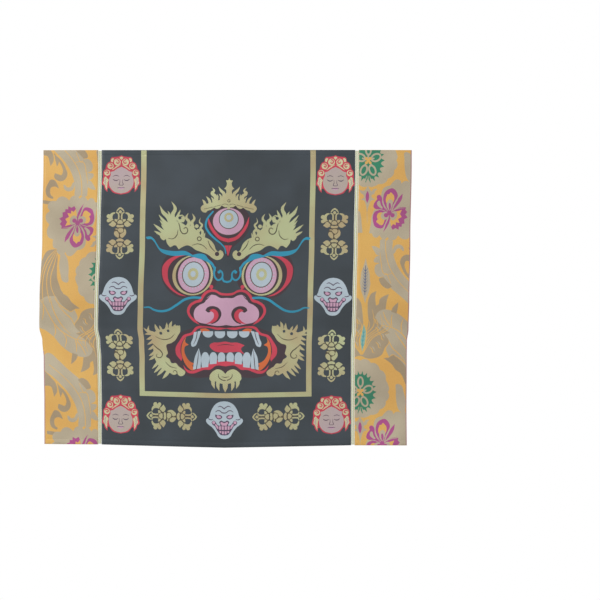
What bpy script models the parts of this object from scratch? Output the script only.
# Hanging banner of figured silk: a black centre panel, a narrow gold band let
# into each side seam, and a yellow side strip outside each band.
# Metres, +Z up, the front faces -Y, the middle of the top edge is the origin.
from collections import namedtuple
import math

import bpy
import numpy as np

# Driving sizes
BANNER_HEIGHT = 0.358
PANEL_WIDTH = 0.308
STRIP_LEFT_WIDTH = 0.0665
STRIP_RIGHT_WIDTH = 0.064
BAND_WIDTH = 0.0044
BAND_THICKNESS = 0.0024
SEAM_GAP = 0.0003

# Cloth thickness, single and where the hem is turned to the back
CLOTH_THICKNESS = 0.0012
HEM_THICKNESS = 0.0022
HEM_WIDTH = 0.006
HEM_SLOPE = 0.0008

# Spacing of the mesh lines, wide on flat cloth and close beside a crease
ROW_STEP = 0.013
COLUMN_STEP = 0.016
CREASE_LINES = (0.0, 0.0022, 0.006)
CLOSEST_LINES = 0.0014
BAND_SIDES = 10

# Creases from the way the banner was folded away. A positive depth stands out
# to the front and a negative one sinks back.
CrossCrease = namedtuple("CrossCrease", "drop depth reach")
CROSS_CREASES = (
    CrossCrease(drop=0.068, depth=0.0010, reach=0.016),
    CrossCrease(drop=0.183, depth=0.0016, reach=0.020),
    CrossCrease(drop=0.2165, depth=-0.0036, reach=0.030),
    CrossCrease(drop=0.2895, depth=0.0012, reach=0.018),
)

# The crease down the middle stands out above the main cross crease and sinks
# back below it, as a cloth folded across and then down does.
MIDDLE_CREASE_X = -0.001
MIDDLE_CREASE_DEPTH = 0.0034
MIDDLE_CREASE_REACH = 0.046
MIDDLE_TURN_DROP = 0.2165
MIDDLE_TURN_SPAN = 0.020
CREASE_ROUNDING = 0.10

# How far each side of the cloth is pulled sideways at each drop
Drift = namedtuple("Drift", "drop left right")
DRIFTS = (
    Drift(drop=0.000, left=0.0000, right=0.0000),
    Drift(drop=0.018, left=0.0000, right=0.0000),
    Drift(drop=0.109, left=-0.0016, right=-0.0016),
    Drift(drop=0.182, left=-0.0041, right=-0.0032),
    Drift(drop=0.2165, left=-0.0051, right=-0.0039),
    Drift(drop=0.232, left=-0.0024, right=-0.0051),
    Drift(drop=0.255, left=-0.0009, right=-0.0051),
    Drift(drop=0.304, left=0.0000, right=-0.0051),
    Drift(drop=0.358, left=0.0000, right=-0.0049),
)

# The weave sags towards the middle crease in the lower part, and the right
# side hangs slightly lower all the way down.
SAG_START_DROP = 0.182
SAG_FULL_DROP = 0.294
SAG_MIDDLE = -0.0038
RIGHT_LOWER = -0.0012
RIGHT_LOWER_DROP = 0.05

# Slow waves: the free side edges roll and ripple more than the middle does
WAVE_DEPTH = 0.0012
WAVE_LENGTH = 0.235
WAVE_SLANT = 0.35
EDGE_ROLL = 0.0022
EDGE_ROLL_WIDTH = 0.070
EDGE_RIPPLE = 0.0010
EDGE_RIPPLE_LENGTH = 0.128

# Colours as linear values, roughness and metallic value of each cloth
Finish = namedtuple("Finish", "color roughness metallic")
FINISHES = {
    "centre_panel": Finish(color=(0.034, 0.044, 0.051, 1.0), roughness=0.62, metallic=0.0),
    "band": Finish(color=(0.440, 0.420, 0.230, 1.0), roughness=0.42, metallic=0.3),
    "strip": Finish(color=(0.600, 0.370, 0.120, 1.0), roughness=0.50, metallic=0.0),
}


def remove_all_objects():
    for old_object in list(bpy.data.objects):
        bpy.data.objects.remove(old_object, do_unlink=True)


def smooth_between(value, low, high):
    share = min(max((value - low) / (high - low), 0.0), 1.0)
    return share * share * (3.0 - 2.0 * share)


def crease_profile(distance, reach):
    # 1 on the crease line, falling away on both sides, with a rounded crest
    span = math.hypot(distance / reach, CREASE_ROUNDING)
    return math.exp(CREASE_ROUNDING - span)


def drift_at(drop):
    # Sideways pull of the left and right side, eased from one table row to the next
    for above, below in zip(DRIFTS, DRIFTS[1:]):
        if drop <= below.drop:
            share = smooth_between(drop, above.drop, below.drop)
            left = above.left + (below.left - above.left) * share
            right = above.right + (below.right - above.right) * share
            return left, right
    return DRIFTS[-1].left, DRIFTS[-1].right


def front_depth(across, drop):
    # How far the cloth stands out to the front at a place on the flat cloth
    depth = sum(crease.depth * crease_profile(drop - crease.drop, crease.reach)
                for crease in CROSS_CREASES)
    turn = 1.0 - 2.0 * smooth_between(drop, MIDDLE_TURN_DROP - MIDDLE_TURN_SPAN,
                                      MIDDLE_TURN_DROP + MIDDLE_TURN_SPAN)
    middle = crease_profile(across - MIDDLE_CREASE_X, MIDDLE_CREASE_REACH)
    depth += MIDDLE_CREASE_DEPTH * turn * middle
    half_width = PANEL_WIDTH / 2.0
    slant = WAVE_SLANT * across / half_width
    depth += WAVE_DEPTH * math.sin(2.0 * math.pi * (drop / WAVE_LENGTH + slant))
    outside = max(0.0, abs(across) - half_width) / EDGE_ROLL_WIDTH
    depth -= EDGE_ROLL * outside * outside
    side = 1.0 if across > 0.0 else -1.0
    depth += EDGE_RIPPLE * outside * math.sin(2.0 * math.pi * drop / EDGE_RIPPLE_LENGTH + side)
    return depth


def cloth_point(across, drop):
    # Where a point of the flat cloth hangs
    left, right = drift_at(drop)
    share = across / PANEL_WIDTH + 0.5
    sideways = left + (right - left) * share
    sag = smooth_between(drop, SAG_START_DROP, SAG_FULL_DROP)
    near_middle = max(0.0, 1.0 - abs(across) / (PANEL_WIDTH / 2.0))
    settled = smooth_between(drop, 0.0, RIGHT_LOWER_DROP)
    lower = SAG_MIDDLE * sag * near_middle + RIGHT_LOWER * share * settled
    forward = front_depth(across, drop) - front_depth(0.0, 0.0) + HEM_THICKNESS / 2.0
    return across + sideways, -forward, lower - drop


def spaced_lines(low, high, step, close_places):
    # Even lines between two edges, with closer ones beside each close place
    count = max(1, math.ceil((high - low) / step))
    fixed = [low, high]
    for place in close_places:
        for offset in CREASE_LINES:
            fixed += [place - offset, place + offset]
    lines = []
    for value in fixed + list(np.linspace(low, high, count + 1)):
        inside = low <= value <= high
        if inside and all(abs(value - other) > CLOSEST_LINES for other in lines):
            lines.append(float(value))
    return sorted(lines)


def with_hem_lines(lines, hem_at_low, hem_at_high):
    # Two lines at the inner edge of each hem, where the thickness changes
    low, high = lines[0], lines[-1]
    hem_end = HEM_WIDTH + HEM_SLOPE
    kept = [low, high]
    if hem_at_low:
        kept += [low + HEM_WIDTH, low + hem_end]
    if hem_at_high:
        kept += [high - HEM_WIDTH, high - hem_end]
    low_limit = low + (hem_end + CLOSEST_LINES if hem_at_low else 0.0)
    high_limit = high - (hem_end + CLOSEST_LINES if hem_at_high else 0.0)
    kept += [value for value in lines if low_limit < value < high_limit]
    return sorted(kept)


def drop_lines():
    places = [crease.drop for crease in CROSS_CREASES]
    lines = spaced_lines(0.0, BANNER_HEIGHT, ROW_STEP, places)
    return with_hem_lines(lines, True, True)


def thickness_at(value, low, high, hem_at_low, hem_at_high):
    near = HEM_WIDTH + HEM_SLOPE / 2.0
    in_low_hem = hem_at_low and value < low + near
    in_high_hem = hem_at_high and value > high - near
    return HEM_THICKNESS if in_low_hem or in_high_hem else CLOTH_THICKNESS


def make_object(name, points, faces, finish_name):
    mesh = bpy.data.meshes.new(name)
    mesh.from_pydata(points, [], faces)
    mesh.validate()
    finish = FINISHES[finish_name]
    material = bpy.data.materials.new(name)
    material.use_nodes = True
    shader = material.node_tree.nodes["Principled BSDF"]
    shader.inputs["Base Color"].default_value = finish.color
    shader.inputs["Roughness"].default_value = finish.roughness
    shader.inputs["Metallic"].default_value = finish.metallic
    mesh.materials.append(material)
    mesh.shade_smooth()
    mesh.set_sharp_from_angle(angle=math.radians(35.0))
    new_object = bpy.data.objects.new(name, mesh)
    bpy.context.scene.collection.objects.link(new_object)
    return new_object


def make_cloth(name, left_edge, right_edge, hem_left, hem_right, finish_name):
    # A sheet with its hems: a front and a back grid closed along the four edges
    drops = drop_lines()
    columns = spaced_lines(left_edge, right_edge, COLUMN_STEP, [MIDDLE_CREASE_X])
    columns = with_hem_lines(columns, hem_left, hem_right)
    fronts = []
    backs = []
    for drop in drops:
        by_row = thickness_at(drop, 0.0, BANNER_HEIGHT, True, True)
        for across in columns:
            by_column = thickness_at(across, left_edge, right_edge, hem_left, hem_right)
            x, y, z = cloth_point(across, drop)
            fronts.append((x, y, z))
            backs.append((x, y + max(by_row, by_column), z))
    width = len(columns)
    height = len(drops)
    back_start = len(fronts)
    faces = []
    for row in range(height - 1):
        for column in range(width - 1):
            first = row * width + column
            below = first + width
            faces.append((first, below, below + 1, first + 1))
            faces.append((back_start + first, back_start + first + 1,
                          back_start + below + 1, back_start + below))
    top = list(range(width))
    bottom = [(height - 1) * width + column for column in range(width)]
    left = [row * width for row in range(height)]
    right = [row * width + width - 1 for row in range(height)]
    for edge in (top, right, bottom[::-1], left[::-1]):
        for here, following in zip(edge, edge[1:]):
            faces.append((here, following, back_start + following, back_start + here))
    return make_object(name, fronts + backs, faces, finish_name)


def make_band(name, left_edge):
    # A soft oval band that follows the seam
    middle = left_edge + BAND_WIDTH / 2.0
    points = []
    drops = drop_lines()
    for drop in drops:
        x, y, z = cloth_point(middle, drop)
        for side in range(BAND_SIDES):
            turn = 2.0 * math.pi * (side + 0.5) / BAND_SIDES
            across = math.cos(turn) / math.cos(math.pi / BAND_SIDES)
            points.append((x + BAND_WIDTH / 2.0 * across,
                           y + CLOTH_THICKNESS / 2.0 + BAND_THICKNESS / 2.0 * math.sin(turn),
                           z))
    faces = []
    for row in range(len(drops) - 1):
        for side in range(BAND_SIDES):
            here = row * BAND_SIDES + side
            beside = row * BAND_SIDES + (side + 1) % BAND_SIDES
            faces.append((here, here + BAND_SIDES, beside + BAND_SIDES, beside))
    last = (len(drops) - 1) * BAND_SIDES
    faces.append(tuple(range(BAND_SIDES)))
    faces.append(tuple(last + side for side in reversed(range(BAND_SIDES))))
    return make_object(name, points, faces, "band")


def build_banner():
    half_panel = PANEL_WIDTH / 2.0
    band_span = SEAM_GAP + BAND_WIDTH + SEAM_GAP
    make_cloth("centre_panel", -half_panel, half_panel, False, False, "centre_panel")
    make_band("band_left", -half_panel - SEAM_GAP - BAND_WIDTH)
    make_band("band_right", half_panel + SEAM_GAP)
    strip_left_inner = -half_panel - band_span
    strip_right_inner = half_panel + band_span
    make_cloth("strip_left", strip_left_inner - STRIP_LEFT_WIDTH, strip_left_inner,
               True, False, "strip")
    make_cloth("strip_right", strip_right_inner, strip_right_inner + STRIP_RIGHT_WIDTH,
               False, True, "strip")


remove_all_objects()
build_banner()
